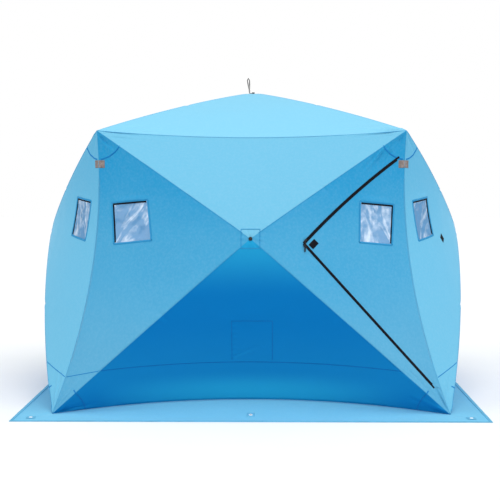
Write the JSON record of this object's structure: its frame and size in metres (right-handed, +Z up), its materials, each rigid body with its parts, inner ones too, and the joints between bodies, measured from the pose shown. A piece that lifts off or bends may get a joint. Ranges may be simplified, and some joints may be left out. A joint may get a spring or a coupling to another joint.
{
  "type": "ice fishing shelter",
  "caption": "Pop-up hub ice fishing shelter: square fabric tent with bulged walls and roof, flexed poles, zipped triangular door, clear windows and a ground skirt.",
  "frame": {"origin": "on the ground at the middle of the shelter", "axes": "+Z up; the wall with the door faces -Y, with the door towards +X"},
  "size_m": [3.034, 3.034, 2.2679],
  "materials": {
    "wall_fabric": "woven coated cloth, slight sheen",
    "roof_fabric": "woven coated cloth, slight sheen",
    "skirt_fabric": "woven coated cloth",
    "clear_film": "clear glossy film",
    "pole": "glass-fibre rod, satin",
    "bolt": "satin",
    "hub": "moulded, satin",
    "grommet": "rolled, satin",
    "zip": "satin",
    "black_webbing": "woven webbing and hook-and-loop"
  },
  "bodies": {
    "root": {"wall_front": "wall_fabric", "wall_right": "wall_fabric", "wall_back": "wall_fabric", "wall_left": "wall_fabric", "roof": "roof_fabric", "ground_skirt": "skirt_fabric", "window_front_left": "clear_film", "window_right_left": "clear_film", "window_right_right": "clear_film", "window_back_left": "clear_film", "window_back_right": "clear_film", "window_left_left": "clear_film", "window_left_right": "clear_film", "door_pad_wall": "black_webbing", "grommet_front": "grommet", "grommet_front_right": "grommet", "grommet_right": "grommet", "grommet_right_back": "grommet", "grommet_back": "grommet", "grommet_back_left": "grommet", "grommet_left": "grommet", "grommet_left_front": "grommet"},
    "hub_front": {"hub_front": "hub", "hub_bolt_front": "bolt"},
    "pole_front_lower_left": {"pole_front_lower_left": "pole"},
    "pole_front_lower_right": {"pole_front_lower_right": "pole"},
    "pole_front_upper_right": {"pole_front_upper_right": "pole"},
    "pole_front_upper_left": {"pole_front_upper_left": "pole"},
    "hub_right": {"hub_right": "hub", "hub_bolt_right": "bolt"},
    "pole_right_lower_left": {"pole_right_lower_left": "pole"},
    "pole_right_lower_right": {"pole_right_lower_right": "pole"},
    "pole_right_upper_right": {"pole_right_upper_right": "pole"},
    "pole_right_upper_left": {"pole_right_upper_left": "pole"},
    "hub_back": {"hub_back": "hub", "hub_bolt_back": "bolt"},
    "pole_back_lower_left": {"pole_back_lower_left": "pole"},
    "pole_back_lower_right": {"pole_back_lower_right": "pole"},
    "pole_back_upper_right": {"pole_back_upper_right": "pole"},
    "pole_back_upper_left": {"pole_back_upper_left": "pole"},
    "hub_left": {"hub_left": "hub", "hub_bolt_left": "bolt"},
    "pole_left_lower_left": {"pole_left_lower_left": "pole"},
    "pole_left_lower_right": {"pole_left_lower_right": "pole"},
    "pole_left_upper_right": {"pole_left_upper_right": "pole"},
    "pole_left_upper_left": {"pole_left_upper_left": "pole"},
    "hub_roof": {"hub_roof": "hub", "hub_bolt_roof": "bolt", "pull_loop": "black_webbing"},
    "pole_roof_front_left": {"pole_roof_front_left": "pole"},
    "pole_roof_front_right": {"pole_roof_front_right": "pole"},
    "pole_roof_back_right": {"pole_roof_back_right": "pole"},
    "pole_roof_back_left": {"pole_roof_back_left": "pole"},
    "door_panel": {"zip_wall_side": "zip"},
    "door": {"door_flap": "wall_fabric", "door_window": "clear_film", "zip_door_side": "zip", "door_pad_flap": "black_webbing"},
    "zip_slider_upper": {"zip_slider_upper": "zip"},
    "zip_slider_lower": {"zip_slider_lower": "zip"}
  },
  "joints": [
    {"name": "hub_front_pop", "type": "slide", "parent": "root", "child": "hub_front", "axis": [0, 0.9897, -0.143], "range_m": [0, 0.68], "deforming": ["wall_front", "window_front_left"]},
    {"name": "pole_front_lower_left_swing", "type": "hinge", "parent": "hub_front", "child": "pole_front_lower_left", "pos_m": [-0.02049, -1.46879, 1.12874], "axis": [-0.6512, 0.1085, 0.7511], "range_deg": [0, 23.96]},
    {"name": "pole_front_lower_right_swing", "type": "hinge", "parent": "hub_front", "child": "pole_front_lower_right", "pos_m": [0.02049, -1.46879, 1.12874], "axis": [-0.6512, -0.1085, -0.7511], "range_deg": [0, 23.96]},
    {"name": "pole_front_upper_right_swing", "type": "hinge", "parent": "hub_front", "child": "pole_front_upper_right", "pos_m": [0.02175, -1.46399, 1.16198], "axis": [0.5927, -0.1152, -0.7972], "range_deg": [0, 31.47]},
    {"name": "pole_front_upper_left_swing", "type": "hinge", "parent": "hub_front", "child": "pole_front_upper_left", "pos_m": [-0.02175, -1.46399, 1.16198], "axis": [0.5927, 0.1152, 0.7972], "range_deg": [0, 31.47]},
    {"name": "hub_right_pop", "type": "slide", "parent": "root", "child": "hub_right", "axis": [-0.9897, 0, -0.143], "range_m": [0, 0.65], "deforming": ["wall_right", "door_pad_wall", "window_right_left", "window_right_right"]},
    {"name": "pole_right_lower_left_swing", "type": "hinge", "parent": "hub_right", "child": "pole_right_lower_left", "pos_m": [1.46879, -0.02049, 1.12874], "axis": [-0.1085, -0.6512, 0.7511], "range_deg": [0, 23.4]},
    {"name": "pole_right_lower_right_swing", "type": "hinge", "parent": "hub_right", "child": "pole_right_lower_right", "pos_m": [1.46879, 0.02049, 1.12874], "axis": [0.1085, -0.6512, -0.7511], "range_deg": [0, 23.4]},
    {"name": "pole_right_upper_right_swing", "type": "hinge", "parent": "hub_right", "child": "pole_right_upper_right", "pos_m": [1.46399, 0.02175, 1.16198], "axis": [0.1152, 0.5927, -0.7972], "range_deg": [0, 31.25]},
    {"name": "pole_right_upper_left_swing", "type": "hinge", "parent": "hub_right", "child": "pole_right_upper_left", "pos_m": [1.46399, -0.02175, 1.16198], "axis": [-0.1152, 0.5927, 0.7972], "range_deg": [0, 31.25]},
    {"name": "hub_back_pop", "type": "slide", "parent": "root", "child": "hub_back", "axis": [0, -0.9897, -0.143], "range_m": [0, 0.68], "deforming": ["wall_back", "window_back_left", "window_back_right"]},
    {"name": "pole_back_lower_left_swing", "type": "hinge", "parent": "hub_back", "child": "pole_back_lower_left", "pos_m": [0.02049, 1.46879, 1.12874], "axis": [0.6512, -0.1085, 0.7511], "range_deg": [0, 23.96]},
    {"name": "pole_back_lower_right_swing", "type": "hinge", "parent": "hub_back", "child": "pole_back_lower_right", "pos_m": [-0.02049, 1.46879, 1.12874], "axis": [0.6512, 0.1085, -0.7511], "range_deg": [0, 23.96]},
    {"name": "pole_back_upper_right_swing", "type": "hinge", "parent": "hub_back", "child": "pole_back_upper_right", "pos_m": [-0.02175, 1.46399, 1.16198], "axis": [-0.5927, 0.1152, -0.7972], "range_deg": [0, 31.47]},
    {"name": "pole_back_upper_left_swing", "type": "hinge", "parent": "hub_back", "child": "pole_back_upper_left", "pos_m": [0.02175, 1.46399, 1.16198], "axis": [-0.5927, -0.1152, 0.7972], "range_deg": [0, 31.47]},
    {"name": "hub_left_pop", "type": "slide", "parent": "root", "child": "hub_left", "axis": [0.9897, 0, -0.143], "range_m": [0, 0.65], "deforming": ["wall_left", "window_left_left", "window_left_right"]},
    {"name": "pole_left_lower_left_swing", "type": "hinge", "parent": "hub_left", "child": "pole_left_lower_left", "pos_m": [-1.46879, 0.02049, 1.12874], "axis": [0.1085, 0.6512, 0.7511], "range_deg": [0, 23.4]},
    {"name": "pole_left_lower_right_swing", "type": "hinge", "parent": "hub_left", "child": "pole_left_lower_right", "pos_m": [-1.46879, -0.02049, 1.12874], "axis": [-0.1085, 0.6512, -0.7511], "range_deg": [0, 23.4]},
    {"name": "pole_left_upper_right_swing", "type": "hinge", "parent": "hub_left", "child": "pole_left_upper_right", "pos_m": [-1.46399, -0.02175, 1.16198], "axis": [-0.1152, -0.5927, -0.7972], "range_deg": [0, 31.25]},
    {"name": "pole_left_upper_left_swing", "type": "hinge", "parent": "hub_left", "child": "pole_left_upper_left", "pos_m": [-1.46399, 0.02175, 1.16198], "axis": [0.1152, -0.5927, 0.7972], "range_deg": [0, 31.25]},
    {"name": "hub_roof_pop", "type": "slide", "parent": "root", "child": "hub_roof", "axis": [0, 0, -1], "range_m": [0, 0.55], "deforming": ["roof"]},
    {"name": "pole_roof_front_left_swing", "type": "hinge", "parent": "hub_roof", "child": "pole_roof_front_left", "pos_m": [-0.01909, -0.01909, 2.123], "axis": [-0.7071, 0.7071, 0], "range_deg": [0, 23.18]},
    {"name": "pole_roof_front_right_swing", "type": "hinge", "parent": "hub_roof", "child": "pole_roof_front_right", "pos_m": [0.01909, -0.01909, 2.123], "axis": [-0.7071, -0.7071, 0], "range_deg": [0, 23.18]},
    {"name": "pole_roof_back_right_swing", "type": "hinge", "parent": "hub_roof", "child": "pole_roof_back_right", "pos_m": [0.01909, 0.01909, 2.123], "axis": [0.7071, -0.7071, 0], "range_deg": [0, 23.18]},
    {"name": "pole_roof_back_left_swing", "type": "hinge", "parent": "hub_roof", "child": "pole_roof_back_left", "pos_m": [-0.01909, 0.01909, 2.123], "axis": [0.7071, 0.7071, 0], "range_deg": [0, 23.18]},
    {"name": "door_panel_flip", "type": "hinge", "parent": "root", "child": "door_panel", "pos_m": [1.285, -1.285, 0.006], "axis": [0.1416, -0.1416, -0.9798], "range_deg": [0, 33.92], "deforming": ["zip_wall_side"]},
    {"name": "door_swing", "type": "hinge", "parent": "door_panel", "child": "door", "pos_m": [1.23215, -1.23215, 0.178], "axis": [-0.1422, 0.1422, 0.9796], "range_deg": [0, 210]},
    {"name": "zip_slider_upper_run", "type": "slide", "parent": "door_panel", "child": "zip_slider_upper", "axis": [0.6934, 0.4073, 0.5945], "range_m": [0, 0.883]},
    {"name": "zip_slider_lower_run", "type": "slide", "parent": "door_panel", "child": "zip_slider_lower", "axis": [0.6676, 0.1133, -0.7359], "range_m": [0, 1.239]}
  ],
  "couplings": [
    {"joint": "pole_front_lower_left_swing", "follows": "hub_front_pop", "rad_per_m": 0.61362},
    {"joint": "pole_front_lower_right_swing", "follows": "hub_front_pop", "rad_per_m": 0.61362},
    {"joint": "pole_front_upper_right_swing", "follows": "hub_front_pop", "rad_per_m": 0.80649},
    {"joint": "pole_front_upper_left_swing", "follows": "hub_front_pop", "rad_per_m": 0.80649},
    {"joint": "pole_right_lower_left_swing", "follows": "hub_right_pop", "rad_per_m": 0.62694},
    {"joint": "pole_right_lower_right_swing", "follows": "hub_right_pop", "rad_per_m": 0.62694},
    {"joint": "pole_right_upper_right_swing", "follows": "hub_right_pop", "rad_per_m": 0.8378},
    {"joint": "pole_right_upper_left_swing", "follows": "hub_right_pop", "rad_per_m": 0.8378},
    {"joint": "pole_back_lower_left_swing", "follows": "hub_back_pop", "rad_per_m": 0.61362},
    {"joint": "pole_back_lower_right_swing", "follows": "hub_back_pop", "rad_per_m": 0.61362},
    {"joint": "pole_back_upper_right_swing", "follows": "hub_back_pop", "rad_per_m": 0.80649},
    {"joint": "pole_back_upper_left_swing", "follows": "hub_back_pop", "rad_per_m": 0.80649},
    {"joint": "pole_left_lower_left_swing", "follows": "hub_left_pop", "rad_per_m": 0.62694},
    {"joint": "pole_left_lower_right_swing", "follows": "hub_left_pop", "rad_per_m": 0.62694},
    {"joint": "pole_left_upper_right_swing", "follows": "hub_left_pop", "rad_per_m": 0.8378},
    {"joint": "pole_left_upper_left_swing", "follows": "hub_left_pop", "rad_per_m": 0.8378},
    {"joint": "pole_roof_front_left_swing", "follows": "hub_roof_pop", "rad_per_m": 0.73416},
    {"joint": "pole_roof_front_right_swing", "follows": "hub_roof_pop", "rad_per_m": 0.73416},
    {"joint": "pole_roof_back_right_swing", "follows": "hub_roof_pop", "rad_per_m": 0.73416},
    {"joint": "pole_roof_back_left_swing", "follows": "hub_roof_pop", "rad_per_m": 0.73416},
    {"joint": "door_panel_flip", "follows": "hub_front_pop", "rad_per_m": 0.86927}
  ]
}
